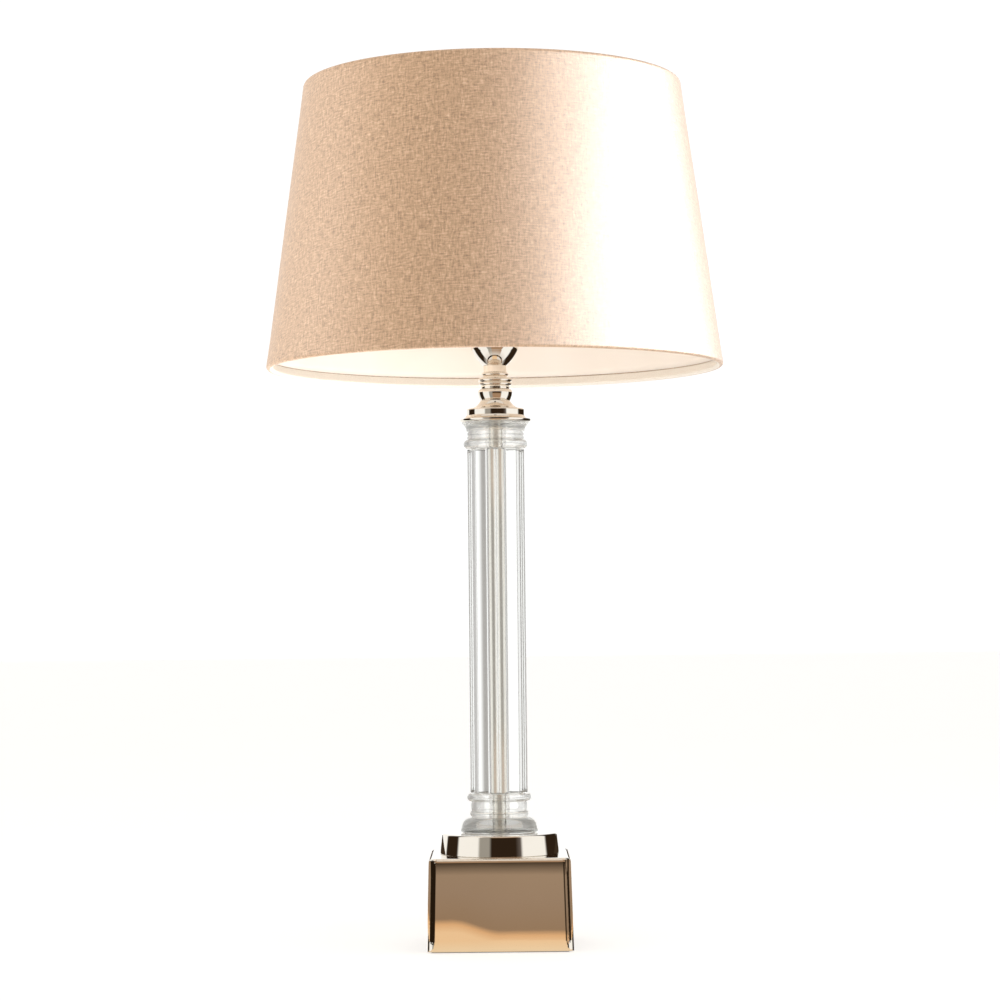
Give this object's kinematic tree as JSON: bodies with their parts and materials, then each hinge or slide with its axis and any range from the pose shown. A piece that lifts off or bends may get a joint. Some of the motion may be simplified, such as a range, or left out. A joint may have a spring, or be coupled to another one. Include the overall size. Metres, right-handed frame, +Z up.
{
  "type": "candlestick table lamp",
  "caption": "Table lamp with a square metal block, round plinth, fluted glass column, turned metal neck, candle cup and a tapered round linen shade on a harp.",
  "frame": {"origin": "middle of the underside, on the surface that the lamp stands on", "axes": "+Z up along the column; -Y is the front, towards the switch knob; the cord outlet faces +Y"},
  "size_m": [0.4027, 0.4028, 0.764],
  "materials": {
    "nickel": "mirror polish, warm nickel plate",
    "sleeve_nickel": "polished",
    "zinc_steel": "zinc plated",
    "cast_iron": "rough, dark",
    "brass": "bright",
    "cap_metal": "satin",
    "clear_glass": "clear, polished",
    "frosted_glass": "white, frosted",
    "linen": "woven linen, beige",
    "lining": "matt white",
    "white_wire": "white paint, satin",
    "felt": "dark felt",
    "gasket": "clear, soft",
    "bush_plastic": "matt black",
    "phenolic": "moulded, black",
    "fibre": "pressed fibre"
  },
  "bodies": {
    "stand": {"felt_pad": "felt", "bottom_plate": "zinc_steel", "plate_screws": "zinc_steel", "base_shell": "nickel", "ballast_disc": "cast_iron", "rod_washer": "zinc_steel", "rod_nut": "zinc_steel", "cord_bush": "bush_plastic", "plinth_disc": "nickel", "foot_gasket": "gasket", "glass_foot": "clear_glass", "lower_gasket": "gasket", "glass_shaft": "clear_glass", "upper_gasket": "gasket", "glass_collar": "clear_glass", "cap_gasket": "gasket", "tube_sleeve": "sleeve_nickel", "threaded_tube": "zinc_steel", "cap_flange": "nickel", "neck_bulb": "nickel", "neck_ring": "nickel", "neck_spool": "nickel", "socket_cup": "nickel", "cup_nut": "zinc_steel", "harp_saddle": "zinc_steel", "holder_cap": "nickel", "holder_shell": "nickel", "holder_liner": "fibre", "holder_body": "phenolic", "screw_shell": "brass", "centre_contact": "brass", "terminal_screws": "brass"},
    "switch": {"switch_spindle": "brass", "switch_knob": "phenolic"},
    "bulb": {"bulb_contact": "brass", "bulb_cap": "cap_metal", "bulb_glass": "frosted_glass"},
    "harp": {"harp_loop": "zinc_steel", "harp_stud": "nickel"},
    "sleeve_left": {"harp_sleeve_left": "nickel"},
    "sleeve_right": {"harp_sleeve_right": "nickel"},
    "shade": {"shade_spider": "white_wire", "shade_bottom_ring": "white_wire", "shade_cover": "linen", "shade_lining": "lining"},
    "finial": {"finial": "nickel"}
  },
  "joints": [
    {"name": "switch_turn", "type": "hinge", "parent": "stand", "child": "switch", "pos_m": [0, 0, 0.541], "axis": [0, -1, 0], "continuous": true},
    {"name": "bulb_out", "type": "slide", "parent": "stand", "child": "bulb", "axis": [0, 0, 1], "range_m": [0, 0.03]},
    {"name": "harp_lift", "type": "slide", "parent": "stand", "child": "harp", "axis": [0, 0, 1], "range_m": [0, 0.1]},
    {"name": "sleeve_left_up", "type": "slide", "parent": "harp", "child": "sleeve_left", "axis": [0, 0, 1], "range_m": [0, 0.014]},
    {"name": "sleeve_right_up", "type": "slide", "parent": "harp", "child": "sleeve_right", "axis": [0, 0, 1], "range_m": [0, 0.014]},
    {"name": "shade_turn", "type": "hinge", "parent": "harp", "child": "shade", "pos_m": [0, 0, 0.74], "axis": [0, 0, 1], "continuous": true},
    {"name": "finial_off", "type": "slide", "parent": "harp", "child": "finial", "axis": [0, 0, 1], "range_m": [0, 0.02]}
  ]
}
